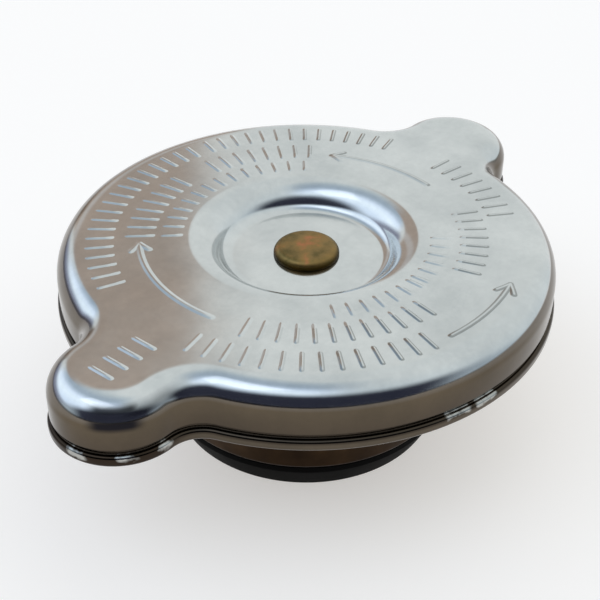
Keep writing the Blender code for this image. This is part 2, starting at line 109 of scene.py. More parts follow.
def outline(inset):
    """Places round the cover at an inset from its edge: two ears, four hollow fillets and the round body."""
    fillet_reach = BODY + EAR_FILLET
    x = (fillet_reach**2 - (EAR + EAR_FILLET) ** 2 + EAR_CENTRE**2) / (2 * EAR_CENTRE)
    y = sqrt(fillet_reach**2 - x**2)
    on_body = atan2(y, x)
    on_ear = atan2(y, x - EAR_CENTRE)
    arcs = [
        ((EAR_CENTRE, 0), EAR - inset, -on_ear, on_ear, 60),
        ((x, y), EAR_FILLET + inset, on_ear + pi, on_body + pi, 14),
        ((0, 0), BODY - inset, on_body, pi - on_body, 150),
        ((-x, y), EAR_FILLET + inset, -on_body, -on_ear, 14),
    ]
    half = []
    for centre, radius, start, end, count in arcs:
        for k in range(count):
            angle = start + (end - start) * k / count
            half.append(Vector(centre) + Vector((cos(angle), sin(angle))) * radius)
    return half + [-place for place in half]


def pan(top, inset):
    """The pressing's corners at a depth under its outer face, from the top's edge in to the rivet hole."""
    floor = DISH_FLOOR + (DISH_FILLET + inset) * tan(DISH_SLOPE / 2)
    rim = floor + (top - DISH) / tan(DISH_SLOPE)
    shoulder = DISH_SHOULDER - inset
    return [
        (BODY - inset, top - inset, EDGE - inset),
        (BODY - EDGE - SUPPORT, top - inset, 0),
        (rim + shoulder * tan(DISH_SLOPE / 2) + SUPPORT, top - inset, 0),
        (rim, top - inset, shoulder),
        (floor, DISH - inset, DISH_FILLET + inset),
        (DISH_FLOOR - SUPPORT, DISH - inset, 0),
        (RIVET_HOLE, DISH - inset, 0),
    ]


def ring(radius):
    """The places round the cover for a section point that lies at this radius on the round body."""
    if radius > (BODY - EDGE + DISH_FLOOR) / 2:
        return outline(BODY - radius)
    return [place.normalized() * radius for place in outline(EDGE)]


def swept(section):
    """A sheet whose closed section is carried round the cover's outline, one extruded ring after another.

    Each vertex keeps, as "away", how far the outline faces away from the camera there.
    """
    bm = bmesh.new()
    number = bm.verts.layers.int.new("number")
    away = bm.verts.layers.float.new("away")
    edge = outline(0)
    verts = [bm.verts.new((*place * MM, section[0].y * MM)) for place in ring(section[0].x)]
    for k, vert in enumerate(verts):
        along = edge[(k + 1) % len(edge)] - edge[k - 1]
        vert[number] = k
        vert[away] = Vector((along.y, -along.x)).normalized().dot((ahead + AWAY_LEAN * left).xy)
    edges = [bm.edges.new((verts[k - 1], verts[k])) for k in range(len(verts))]
    for point in section[1:] + section[:1]:
        places = ring(point.x)
        grown = bmesh.ops.extrude_edge_only(bm, edges=edges)["geom"]
        fresh = {item for item in grown if isinstance(item, bmesh.types.BMVert)}
        for vert in fresh:
            vert.co = (*places[vert[number]] * MM, point.y * MM)
            vert[away] = verts[vert[number]][away]
        edges = [item for item in grown if isinstance(item, bmesh.types.BMEdge) and fresh.issuperset(item.verts)]
    bmesh.ops.remove_doubles(bm, verts=bm.verts, dist=1e-7)
    return bm


def piece(name, bm, surface, body, slot, *nodes):
    """A smooth piece with its faces turned outwards, on its body, in place of its CAD nodes; its slot is not used."""
    bmesh.ops.recalc_face_normals(bm, faces=bm.faces)
    mesh = bpy.data.meshes.new(name)
    bm.to_mesh(mesh)
    bm.free()
    mesh.shade_smooth()
    mesh.set_sharp_from_angle(angle=SHARP)
    mesh.materials.append(surface)
    made = bpy.data.objects.new(name, mesh)
    bpy.context.scene.collection.objects.link(made)
    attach(made, body)
    if nodes:
        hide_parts(*nodes)
    return made


def colour(code):
    """An sRGB hex colour as linear RGBA."""
    parts = [int(code[k : k + 2], 16) / 255 for k in (1, 3, 5)]
    return (*[c / 12.92 if c <= 0.04045 else ((c + 0.055) / 1.055) ** 2.4 for c in parts], 1)


def add(tree, kind, links=None, stops=(), **settings):
    """Adds a node: its settings, a ramp's stops (position, hex colour), and a value or a socket for each input."""
    made = tree.nodes.new(kind)
    for name, value in settings.items():
        setattr(made, name, value)
    for k, (position, code) in enumerate(stops):
        if k > 1:
            made.color_ramp.elements.new(1.0)
        made.color_ramp.elements[k].position = position
        made.color_ramp.elements[k].color = colour(code)
    for name, value in (links or {}).items():
        if isinstance(value, bpy.types.NodeSocket):
            tree.links.new(value, made.inputs[name])
        else:
            made.inputs[name].default_value = value
    return made


def worn_metal(name, grain, rough, bump):
    """A metal with wear of a grain in mm and a fine bump: the material, its tree, shader and place come back."""
    made = bpy.data.materials.new(name)
    made.use_nodes = True
    tree = made.node_tree
    shader = tree.nodes["Principled BSDF"]
    shader.inputs["Metallic"].default_value = 1.0
    place = add(tree, "ShaderNodeTexCoord").outputs["Object"]
    wear = add(tree, "ShaderNodeTexNoise", {
        "Vector": place, "Scale": 1 / (grain * MM), "Detail": 6.0, "Roughness": 0.65,
    })
    spread = add(tree, "ShaderNodeMapRange", {
        "Value": wear.outputs["Fac"], "From Min": 0.3, "From Max": 0.7, "To Min": rough[0], "To Max": rough[1],
    })
    fine = add(tree, "ShaderNodeTexNoise", {"Vector": place, "Scale": 4 / (grain * MM), "Detail": 3.0})
    relief = add(tree, "ShaderNodeBump", {"Height": fine.outputs["Fac"], "Strength": bump, "Distance": 0.05 * MM})
    tree.links.new(spread.outputs[0], shader.inputs["Roughness"])
    tree.links.new(relief.outputs["Normal"], shader.inputs["Normal"])
    return made, tree, shader, place


# Bright plate over pressed steel, a soft mirror with faint cloudy wear. The sheet is not quite flat, so its
# reflections waver.
WAVE = 13.333
CLOUD = 11.11

plated_steel, tree, shader, place = worn_metal("bright_plated_steel", 9.09, (0.1, 0.16), 0.05)
waves = add(tree, "ShaderNodeTexNoise", {"Vector": place, "Scale": 1 / (WAVE * MM), "Detail": 1.0}).outputs["Fac"]
pressed = add(tree, "ShaderNodeBump", {"Height": waves, "Strength": 1.0, "Distance": 0.12 * MM})
tree.links.new(pressed.outputs["Normal"], shader.inputs["Normal"].links[0].from_node.inputs["Normal"])
clouds = add(tree, "ShaderNodeTexNoise", {
    "Vector": place, "Scale": 1 / (CLOUD * MM), "Detail": 8.0, "Roughness": 0.72,
}).outputs["Fac"]
bright = add(tree, "ShaderNodeValToRGB", {"Fac": clouds}, stops=((0.35, "#C0C3C3"), (0.65, "#D4D6D5"))).outputs[0]

# Painted reflection: the skirt is painted a brownish grey that stands for brown ground mirrored in it, with painted
# shade darkest in the groove above the hem. This painted reflection reaches a third of the way up the rounded edge
# towards the camera, and nearly to the top where the outline faces away.
height = add(tree, "ShaderNodeSeparateXYZ", {"Vector": place}).outputs["Z"]
level = add(tree, "ShaderNodeMapRange", {
    "Value": height, "From Min": SKIRT * MM, "From Max": LID * MM,
}).outputs[0]
skirt_reflection_paint = add(tree, "ShaderNodeValToRGB", {"Fac": level}, stops=(
    (0.0, "#6C6054"), (0.1, "#74685A"), (0.14, "#544A40"), (0.26, "#5A4F44"), (0.3, "#6B5E51"),
    (0.66, "#786A59"), (0.72, "#8C8176"), (0.86, "#958B83"),
)).outputs[0]
away = add(tree, "ShaderNodeAttribute", attribute_name="away").outputs["Fac"]
climb = add(tree, "ShaderNodeMapRange", {
    "Value": away, "From Min": -1.0, "From Max": 0.3, "To Min": 0.73, "To Max": 0.951,
}).outputs[0]
over_climb = add(tree, "ShaderNodeMath", {0: level, 1: climb}, operation="SUBTRACT").outputs[0]
above_skirt_paint = add(tree, "ShaderNodeMapRange", {
    "Value": over_climb, "From Min": -0.012, "From Max": 0.02,
}, interpolation_type="SMOOTHSTEP").outputs[0]
skirt_painted = add(tree, "ShaderNodeMix", {0: above_skirt_paint, 6: skirt_reflection_paint, 7: colour("#FFFFFF")}, data_type="RGBA").outputs[2]

# Painted reflection of the dark room: the near ear's end is painted almost black under its rounded edge, and the edge
# beside it is painted darker.
EAR_END = (-38.8, -4.9, 0)
EAR_SIDE = (-35.0, -7.0, 0)

flat = add(tree, "ShaderNodeVectorMath", {0: place, 1: (1, 1, 0)}, operation="MULTIPLY").outputs[0]
darkness = 0.0
for centre, outer, inner, band in (
    (EAR_END, 3.6, 1.8, (
        (0.57, "#000000"), (0.65, "#FFFFFF"), (0.715, "#FFFFFF"), (0.74, "#7C7C7C"), (0.82, "#7C7C7C"),
        (0.85, "#EEEEEE"), (0.87, "#F7F7F7"), (0.885, "#E7E7E7"), (0.905, "#AAAAAA"), (0.925, "#000000"),
    )),
    (EAR_SIDE, 5.0, 2.0, (
        (0.76, "#000000"), (0.79, "#BCBCBC"), (0.84, "#C6C6C6"), (0.86, "#BCBCBC"), (0.9, "#7C7C7C"),
        (0.93, "#000000"),
    )),
):
    distance = add(tree, "ShaderNodeVectorMath", {0: flat, 1: Vector(centre) * MM}, operation="DISTANCE")
    near = add(tree, "ShaderNodeMapRange", {
        "Value": distance.outputs["Value"], "From Min": outer * MM, "From Max": inner * MM,
    }, interpolation_type="SMOOTHSTEP").outputs[0]
    in_band = add(tree, "ShaderNodeValToRGB", {"Fac": level}, stops=band).outputs[0]
    share = add(tree, "ShaderNodeMath", {0: near, 1: in_band}, operation="MULTIPLY").outputs[0]
    darkness = add(tree, "ShaderNodeMath", {0: darkness, 1: share}, operation="MAXIMUM").outputs[0]
ear_end_painted = add(tree, "ShaderNodeMix", {0: darkness, 6: skirt_painted, 7: colour("#2E2C31")}, data_type="RGBA").outputs[2]

# Painted shade: the hem under the ears is painted dark brown.
HEM_LEVEL = 0.185

radius = add(tree, "ShaderNodeVectorMath", {0: flat}, operation="LENGTH").outputs["Value"]
under_ears = add(tree, "ShaderNodeMapRange", {
    "Value": radius, "From Min": 32 * MM, "From Max": 36 * MM,
}).outputs[0]
on_hem = add(tree, "ShaderNodeMath", {0: level, 1: HEM_LEVEL}, operation="LESS_THAN").outputs[0]
painted_shade = add(tree, "ShaderNodeMath", {0: under_ears, 1: on_hem}, operation="MULTIPLY").outputs[0]
ear_hem_shaded = add(tree, "ShaderNodeMix", {0: painted_shade, 6: ear_end_painted, 7: colour("#42372E")}, data_type="RGBA").outputs[2]

# Painted glints: the hem carries ragged bright spots, half as tall as they are wide, painted as highlights.
GLINT_SPOTS = (
    (-41.5, -1.4, 19.7), (-38.9, -6.1, 19.6), (-34.7, -8.1, 19.65),
    (-11.0, -29.7, 20.0), (-9.5, -30.2, 19.9), (-6.9, -31.0, 19.9), (-5.5, -31.2, 20.0),
)
RAGGED = 1.4286
RAGGED_REACH = 1.5
GLINT_LEVEL = 0.27

ragged = add(tree, "ShaderNodeTexNoise", {
    "Vector": place, "Scale": 1 / (RAGGED * MM), "Detail": 2.0,
}).outputs["Color"]
shaken = add(tree, "ShaderNodeVectorMath", {0: ragged, "Scale": 2 * RAGGED_REACH * MM}, operation="SCALE").outputs[0]
centred = add(tree, "ShaderNodeVectorMath", {
    0: shaken, 1: Vector((1, 1, 1)) * (RAGGED_REACH * MM),
}, operation="SUBTRACT").outputs[0]
tall = add(tree, "ShaderNodeVectorMath", {0: place, 1: (1, 1, 2), 2: centred}, operation="MULTIPLY_ADD").outputs[0]
nearest = 1.0
for x, y, z in GLINT_SPOTS:
    distance = add(tree, "ShaderNodeVectorMath", {0: tall, 1: Vector((x, y, 2 * z)) * MM}, operation="DISTANCE")
    nearest = add(tree, "ShaderNodeMath", {
        0: nearest, 1: distance.outputs["Value"],
    }, operation="MINIMUM").outputs[0]
glint_near = add(tree, "ShaderNodeMapRange", {
    "Value": nearest, "From Min": 1.15 * MM, "From Max": 0.55 * MM,
}).outputs[0]
by_hem = add(tree, "ShaderNodeMath", {0: level, 1: GLINT_LEVEL}, operation="LESS_THAN").outputs[0]
painted_glint = add(tree, "ShaderNodeMath", {0: glint_near, 1: by_hem}, operation="MULTIPLY").outputs[0]
glinted = add(tree, "ShaderNodeMix", {0: painted_glint, 6: ear_hem_shaded, 7: colour("#DAD7D2")}, data_type="RGBA").outputs[2]

# Painted shade greys the flanks of the raised marks, on the half to the right of the camera.
over_foot = add(tree, "ShaderNodeMapRange", {
    "Value": height, "From Min": (TOP + 0.01) * MM, "From Max": (TOP + 0.03) * MM,
}).outputs[0]
under_crest = add(tree, "ShaderNodeMapRange", {
    "Value": height, "From Min": (LID - 0.01) * MM, "From Max": (LID - 0.04) * MM,
}).outputs[0]
on_flank = add(tree, "ShaderNodeMath", {0: over_foot, 1: under_crest}, operation="MULTIPLY").outputs[0]
from_left = add(tree, "ShaderNodeVectorMath", {0: place, 1: left}, operation="DOT_PRODUCT").outputs["Value"]
right_half = add(tree, "ShaderNodeMapRange", {
    "Value": from_left, "From Min": 8 * MM, "From Max": -8 * MM,
}, interpolation_type="SMOOTHSTEP").outputs[0]
flank_shade = add(tree, "ShaderNodeMath", {0: on_flank, 1: right_half}, operation="MULTIPLY").outputs[0]
flank_shaded = add(tree, "ShaderNodeMix", {0: flank_shade, 6: glinted, 7: colour("#C4C4C2")}, data_type="RGBA").outputs[2]

# None of these tints reaches into the dish, whose floor lies as low as the skirt's top.
BEYOND_DISH = 20

outside = add(tree, "ShaderNodeMath", {0: radius, 1: BEYOND_DISH * MM}, operation="GREATER_THAN").outputs[0]
tinted = add(
    tree, "ShaderNodeMix", {0: outside, 6: bright, 7: flank_shaded}, data_type="RGBA", blend_type="MULTIPLY",
)
tree.links.new(tinted.outputs[2], shader.inputs["Base Color"])

hem_top = SKIRT + HEM_HEIGHT
groove_top = hem_top + GROOVE_HEIGHT
hem = [
    (BODY + HEM_OUT, SKIRT, 0.5),
    (BODY + HEM_OUT, hem_top, 0.45),
    (BODY - GROOVE_DEPTH, hem_top + 0.1, 0.12),
    (BODY - GROOVE_DEPTH, groove_top - 0.1, 0.12),
    (BODY, groove_top, 0.2),
]
section = rounded(hem + pan(TOP, 0) + pan(TOP, SHEET)[::-1] + [(BODY - SHEET, SKIRT, 0.15)])
piece("cover_pressing", swept(section), plated_steel, "cap", "plated_steel", "cover")


# Raised marks on the cover
# Rows of plain raised bars and three raised turning arrows, pressed up out of the same sheet with the cover. The
# rows run round the dish, and four bars lie on the near ear.

MARK_SINK = 0.03
MARK_SHEET = 0.3
BAR_WIDTH = 0.9
BAR_PITCH = 2.05
ARROW_WIDTH = 1.2
ACROSS = [-1.0, -0.66, -0.33, 0.0, 0.33, 0.66, 1.0]
BAR_ROWS = (  # inner and outer radius, first and last angle
    (24.5, 27.4, 12, 70), (24.5, 27.4, 76, 155), (24.5, 27.4, 189, 250), (24.0, 27.0, 319, 352),
    (19.4, 22.5, 37, 76), (19.4, 22.5, 92, 131), (19.4, 22.5, 199, 259), (19.6, 22.6, 285, 322),
    (15.9, 18.0, 39, 131), (15.9, 18.0, 229, 268), (15.9, 18.0, 272, 305),
)
ARROWS = ((21.0, 187, 136), (20.2, 345, 388), (26.6, 256, 284))  # radius, tail's and head's angle
EAR_BARS = (-29.2, -31.4, -33.6, -35.8)


def at(radius, angle):
    """The place on the cap's plan at a radius in mm and an angle in degrees."""
    return Vector((cos(radians(angle)), sin(radians(angle)))) * radius


def stroke(bm, path, width):
    """Adds one pressed-up line along a path: a grid laid on the top, raised in a bell shape and then made thick."""
    columns = len(path) + 4
    made = bmesh.ops.create_grid(bm, x_segments=columns - 1, y_segments=len(ACROSS) - 1, size=1)["verts"]
    line = [path[0], path[0]] + list(path) + [path[-1], path[-1]]
    first_way = (path[1] - path[0]).normalized()
    last_way = (path[-1] - path[-2]).normalized()
    for k, share in ((0, 1.0), (1, 0.5)):
        line[k] = path[0] - first_way * (share * width / 2)
        line[-1 - k] = path[-1] + last_way * (share * width / 2)
    rise = [0.0, 0.5] + [1.0] * len(path) + [0.5, 0.0]
    for vert in made:
        column = round((vert.co.x + 1) / 2 * (columns - 1))
        row = round((vert.co.y + 1) / 2 * (len(ACROSS) - 1))
        before = line[max(column - 1, 0)]
        after = line[min(column + 1, columns - 1)]
        way = (after - before).normalized()
        aside = Vector((-way.y, way.x)) * (ACROSS[row] * width / 2)
        bell = cos(ACROSS[row] * pi / 2) ** 2 * rise[column]
        spot = line[column] + aside
        vert.co = (*spot * MM, (TOP - MARK_SINK + (MARK_HEIGHT + MARK_SINK) * bell) * MM)


def bars(bm, inner, outer, start, end):
    """Adds a row of radial bars from one angle round to another."""
    count = round(radians(end - start) * (inner + outer) / 2 / BAR_PITCH)
    for k in range(count + 1):
        angle = start + (end - start) * k / count
        stroke(bm, [at(inner + (outer - inner) * share / 3, angle) for share in range(4)], BAR_WIDTH)


def arrow(bm, radius, start, end):
    """Adds a curved arrow whose head is at the end angle."""
    count = round(abs(end - start) / 3)
    turns = [start + (end - start) * k / count for k in range(count + 1)]
    stroke(bm, [at(radius, angle) for angle in turns], ARROW_WIDTH)
    back = copysign(4.0, start - end)
    for side_step in (-1.1, 1.1):
        stroke(bm, [at(radius + side_step * k / 2, end + back * k / 2) for k in range(3)], ARROW_WIDTH)


bm = bmesh.new()
for row in BAR_ROWS:
    bars(bm, *row)
for turning in ARROWS:
    arrow(bm, *turning)
for x in EAR_BARS:
    stroke(bm, [Vector((x, y)) for y in (-1.5, -0.5, 0.5, 1.5)], BAR_WIDTH)
bmesh.ops.recalc_face_normals(bm, faces=bm.faces)
bmesh.ops.solidify(bm, geom=bm.verts[:] + bm.edges[:] + bm.faces[:], thickness=MARK_SHEET * MM)
piece("raised_marks", bm, plated_steel, "cap", "plated_steel")


# The locking plate
# A second pan of zinc-plated steel, pressed to nest inside the cover. Two lugs are folded in from its rim, which
# hook under the filler neck's cams when the cap is turned.

SEAT_GAP = 0.25
COVER_SHEET = 0.9
LOCK_SHEET = 1.0
LUG_TOP = 20.1
LUG_INNER = 25.5
LUG_ANGLE = 48
LUG_LEAD = 9
LUG_DROP = 0.3
LUG_STEPS = 32
LUG_GAP = 0.3
LUG_SOFTENING = 0.15
TURN_STEPS = 160


def turned(name, corners, surface, body, slot, *nodes, open_ends=False):
    """A turned piece from the corners of its section, which is left open where it starts and ends on the axis."""
    bm = bmesh.new()
    verts = [bm.verts.new((point.x * MM, 0, point.y * MM)) for point in rounded(corners)]
    edges = [bm.edges.new(pair) for pair in zip(verts, verts[1:])]
    if not open_ends:
        edges.append(bm.edges.new((verts[-1], verts[0])))
    bmesh.ops.spin(bm, geom=verts + edges, axis=(0, 0, 1), angle=tau, steps=TURN_STEPS, use_merge=True)
    bmesh.ops.remove_doubles(bm, verts=bm.verts, dist=1e-7)
    piece(name, bm, surface, body, slot, *nodes)


# Zinc plate on pressed steel: a dull satin grey with cloudy darker patches.
zinc_steel, tree, shader, place = worn_metal("zinc_plated_steel", 4.545, (0.32, 0.5), 0.25)
clouds = add(tree, "ShaderNodeTexNoise", {"Vector": place, "Scale": 1 / (7.692 * MM), "Detail": 6.0}).outputs["Fac"]
cloudy = add(tree, "ShaderNodeValToRGB", {"Fac": clouds}, stops=(
    (0.3, "#8C8778"), (0.5, "#A8A69E"), (0.7, "#B9B8B2"),
))
tree.links.new(cloudy.outputs[0], shader.inputs["Base Color"])

nested = COVER_SHEET + SEAT_GAP
under = nested + LOCK_SHEET
low = LUG_TOP - LOCK_SHEET
corners = [(BODY - nested, low, 0.2)] + pan(LID, nested) + pan(LID, under)[::-1] + [(BODY - under, low, 0.2)]
turned("lock_pan", corners, zinc_steel, "cap", "zinc_steel", "locking_plate")
for name, middle in (("lug_plus_x", 0), ("lug_minus_x", 180)):
    bm = bmesh.new()
    turn = Matrix.Rotation(radians(middle - LUG_ANGLE / 2), 4, "Z")
    outer = BODY - nested - LUG_GAP
    loop = [(LUG_INNER, low), (outer, low), (outer, LUG_TOP), (LUG_INNER, LUG_TOP)]
    verts = [bm.verts.new(turn @ Vector((r * MM, 0, z * MM))) for r, z in loop]
    face = bm.faces.new(verts)
    bmesh.ops.spin(bm, geom=[face], axis=(0, 0, 1), angle=radians(LUG_ANGLE), steps=LUG_STEPS)
    bmesh.ops.remove_doubles(bm, verts=bm.verts, dist=1e-7)
    for vert in bm.verts:
        along = (vert.co.xy.angle_signed(turn.to_3x3().col[0].xy, 0)) % tau
        vert.co.z -= LUG_DROP * MM * max(0.0, 1 - along / radians(LUG_LEAD))
    bmesh.ops.recalc_face_normals(bm, faces=bm.faces)
    rims = [edge for edge in bm.edges if edge.calc_face_angle(0) > SHARP]
    bmesh.ops.bevel(
        bm, geom=rims, offset=LUG_SOFTENING * MM, segments=3, profile=0.5, affect="EDGES", material=-1,
    )
    piece(name, bm, zinc_steel, "cap", "zinc_steel", "locking_plate")


# The diaphragm and the neck gasket
# A thin spring-steel disc curls down over the edge of a black moulded rubber disc. Both are clamped in the middle
# under the rivet, and the rubber's thick rim closes the filler neck's top.

GASKET = 19.5
GASKET_HOLE = 5.0
CLAMP = 12.5
BORE = 20.0
SEAL = 25.3
GASKET_RISE = 2.3
GASKET_LAND = 1.3
GASKET_WEB = 1.0
DIAPHRAGM_SHEET = 0.3
CURL = 0.8

# Bright spring steel: rolled sheet and drawn wire, mid grey and a little oily.
spring_steel, tree, shader, place = worn_metal("bright_spring_steel", 3.846, (0.22, 0.4), 0.15)
clouds = add(tree, "ShaderNodeTexNoise", {"Vector": place, "Scale": 1 / (5.556 * MM), "Detail": 4.0}).outputs["Fac"]
oily = add(tree, "ShaderNodeValToRGB", {"Fac": clouds}, stops=((0.35, "#7E7C78"), (0.65, "#A3A29F")))
tree.links.new(oily.outputs[0], shader.inputs["Base Color"])

# Moulded rubber: matt black with a faint grey bloom and a fine skin. It is too dirty to shine at its edges.
BLOOM = 4.167
SKIN = 0.4545

rubber = bpy.data.materials.new("moulded_rubber")
rubber.use_nodes = True
tree = rubber.node_tree
shader = tree.nodes["Principled BSDF"]
place = add(tree, "ShaderNodeTexCoord").outputs["Object"]
bloom = add(tree, "ShaderNodeTexNoise", {
    "Vector": place, "Scale": 1 / (BLOOM * MM), "Detail": 8.0, "Roughness": 0.7,
}).outputs["Fac"]
black = add(tree, "ShaderNodeValToRGB", {"Fac": bloom}, stops=(
    (0.35, "#020202"), (0.6, "#040404"), (0.75, "#0B0A09"),
))
tree.links.new(black.outputs[0], shader.inputs["Base Color"])
shader.inputs["Specular IOR Level"].default_value = 0.04
matt = add(tree, "ShaderNodeMapRange", {"Value": bloom, "To Min": 0.45, "To Max": 0.75})
tree.links.new(matt.outputs[0], shader.inputs["Roughness"])
skin = add(tree, "ShaderNodeTexNoise", {"Vector": place, "Scale": 1 / (SKIN * MM), "Detail": 2.0})
relief = add(tree, "ShaderNodeBump", {"Height": skin.outputs["Fac"], "Strength": 0.3, "Distance": 0.04 * MM})
tree.links.new(relief.outputs["Normal"], shader.inputs["Normal"])

clamped = GASKET + GASKET_WEB
risen = GASKET + GASKET_RISE + GASKET_LAND
turned(
    "neck_gasket_disc",
    [
        (GASKET_HOLE, GASKET, 0.1), (CLAMP, GASKET, 2.0), (BORE, GASKET + GASKET_RISE, 1.2),
        (SEAL, GASKET + GASKET_RISE, 0.4), (SEAL, risen, 0.25), (BORE, risen, 1.8), (CLAMP, clamped, 1.5),
        (GASKET_HOLE, clamped, 0.1),
    ],
    rubber, "swivel", "rubber", "neck_gasket",
)
lie = SEAT_GAP + DIAPHRAGM_SHEET
turned(
    "diaphragm_disc",
    [
        (RIVET_HOLE, clamped + SEAT_GAP, 0), (CLAMP, clamped + SEAT_GAP, 1.5), (BORE, risen + SEAT_GAP, 1.8),
        (SEAL + SEAT_GAP, risen + SEAT_GAP, 0.15), (SEAL + SEAT_GAP, risen - CURL, 0),
        (SEAL + lie, risen - CURL, 0), (SEAL + lie, risen + lie, 0.4), (BORE, risen + lie, 1.5),
        (CLAMP, clamped + lie, 1.8), (RIVET_HOLE, clamped + lie, 0),
    ],
    spring_steel, "swivel", "spring_steel", "diaphragm",
)


# The centre rivet
# A brass rivet, its head in the cover's dish and its foot upset under the washer: it holds the pan, the gasket and
# the spring cage together, and the cage turns on it. A spacer and a washer of zinc-plated steel sit round it.

RIVET_HEAD = 4.2
RIVET_TOP = 24.6
RIVET_SHANK = 2.9
RIVET_FOOT = 4.5
FOOT_LEVEL = 16.05
FOOT_HEIGHT = 1.1

# Tarnished brass: olive brown where it has dulled and orange where it has spotted, with painted shade darkening the
# head towards where it meets the dish.
TARNISH = 2.941

tarnished_brass, tree, shader, place = worn_metal("tarnished_brass", 2.381, (0.34, 0.55), 0.35)
clouds = add(tree, "ShaderNodeTexNoise", {
    "Vector": place, "Scale": 1 / (TARNISH * MM), "Detail": 5.0, "Roughness": 0.6,
}).outputs["Fac"]
tarnish = add(tree, "ShaderNodeValToRGB", {"Fac": clouds}, stops=(
    (0.32, "#6A5C36"), (0.46, "#877045"), (0.56, "#927546"), (0.66, "#B0764E"),
)).outputs[0]
height = add(tree, "ShaderNodeSeparateXYZ", {"Vector": place}).outputs["Z"]
# Painted shade: the head's side is painted darker down towards the dish.
up_head = add(tree, "ShaderNodeMapRange", {
    "Value": height, "From Min": (DISH - 1) * MM, "From Max": RIVET_TOP * MM,
}).outputs[0]
painted_shade = add(tree, "ShaderNodeValToRGB", {"Fac": up_head}, stops=(
    (0.0, "#FFFFFF"), (0.4, "#FFFFFF"), (0.46, "#6A6752"), (0.66, "#8A8468"), (0.92, "#FFFFFF"),
)).outputs[0]
shaded_tarnish = add(tree, "ShaderNodeMix", {0: 1.0, 6: tarnish, 7: painted_shade}, data_type="RGBA", blend_type="MULTIPLY")
tree.links.new(shaded_tarnish.outputs[2], shader.inputs["Base Color"])

turned(
    "brass_rivet",
    [
        (0, FOOT_LEVEL, 0), (RIVET_FOOT, FOOT_LEVEL, 0.4), (RIVET_FOOT, FOOT_LEVEL + FOOT_HEIGHT, 0.1),
        (RIVET_SHANK, FOOT_LEVEL + FOOT_HEIGHT, 0), (RIVET_SHANK, DISH, 0), (RIVET_HEAD, DISH, 0.1),
        (RIVET_HEAD, RIVET_TOP, 1.0), (0, RIVET_TOP, 0),
    ],
    tarnished_brass, "cap", "brass", "centre_rivet", open_ends=True,
)


def dress(node, surface):
    """Gives a CAD node that stays as it is its material."""
    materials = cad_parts[node].data.materials
    materials.clear()
    materials.append(surface)


dress("rivet_spacer", zinc_steel)
dress("rivet_washer", zinc_steel)


# The spring cage
# A bell of zinc-plated steel round the pressure spring, drawn and then pierced with six steam windows. The flange
# round its foot is what the valve cup hooks on.

CAGE_FLANGE = 18.45
CAGE = 16.55
CAGE_SHEET = 0.8
CAGE_LEVEL = 8.55
CAGE_TOP = 19.25
CAGE_SHOULDER = 2.2
WINDOW_LOW = 11.85
WINDOW_HIGH = 16.05
WINDOWS = 6
WINDOW_FACES = 10
CAGE_STEPS = 144


def sheet_bell(path, steps, thickness, keep):
    """A turned sheet: the path is its outer face, keep(centre) says which faces stay, and then it gets thickness."""
    bm = bmesh.new()
    half_step = Matrix.Rotation(tau / steps / 2, 4, "Z")
    verts = [bm.verts.new(half_step @ Vector((point.x * MM, 0, point.y * MM))) for point in path]
    edges = [bm.edges.new(pair) for pair in zip(verts, verts[1:])]
    bmesh.ops.spin(bm, geom=verts + edges, axis=(0, 0, 1), angle=tau, steps=steps, use_merge=True)
    bmesh.ops.remove_doubles(bm, verts=bm.verts, dist=1e-7)
    gone = [face for face in bm.faces if not keep(face.calc_center_median() / MM)]
    bmesh.ops.delete(bm, geom=gone, context="FACES")
    bmesh.ops.recalc_face_normals(bm, faces=bm.faces)
    bmesh.ops.solidify(bm, geom=bm.verts[:] + bm.edges[:] + bm.faces[:], thickness=thickness * MM)
    return bm


def beside(centre, count, shift):
    """How far round a place lies from the nearest of a number of even places, in radians."""
    angle = (atan2(centre.y, centre.x) / tau * count - shift) % 1
    return min(angle, 1 - angle) * tau / count


def in_cage(centre):
    """Whether a face belongs to the cage's sheet and not to a window."""
    at_window = WINDOW_LOW < centre.z < WINDOW_HIGH
    return not (at_window and beside(centre, WINDOWS, 0.5) < WINDOW_FACES / 2 * tau / CAGE_STEPS)


foot = CAGE_LEVEL + CAGE_SHEET
bell = rounded([
    (CAGE_FLANGE, foot, 0), (CAGE, foot, 0.5), (CAGE, CAGE_TOP, CAGE_SHOULDER), (RIVET_HOLE, CAGE_TOP, 0),
])
wall = [Vector((CAGE, z)) for z in (WINDOW_LOW, WINDOW_HIGH)]
up = [point for point in bell if point.y < WINDOW_LOW]
over = [point for point in bell if point.y > WINDOW_HIGH]
bm = sheet_bell(up + wall + over, CAGE_STEPS, CAGE_SHEET, in_cage)
piece("windowed_cage", bm, zinc_steel, "swivel", "zinc_steel", "spring_cage")


# The pressure spring
# Five turns of steel wire with closed ends, standing in the valve cup under the cage's roof. It gets shorter as the
# valve lifts.

SPRING = 13.15
SPRING_WIRE = 1.6
SPRING_LOW = 5.2
SPRING_HIGH = 18.2
SPRING_TURNS = 5
COIL_STEPS = 48
WIRE_SIDES = 20


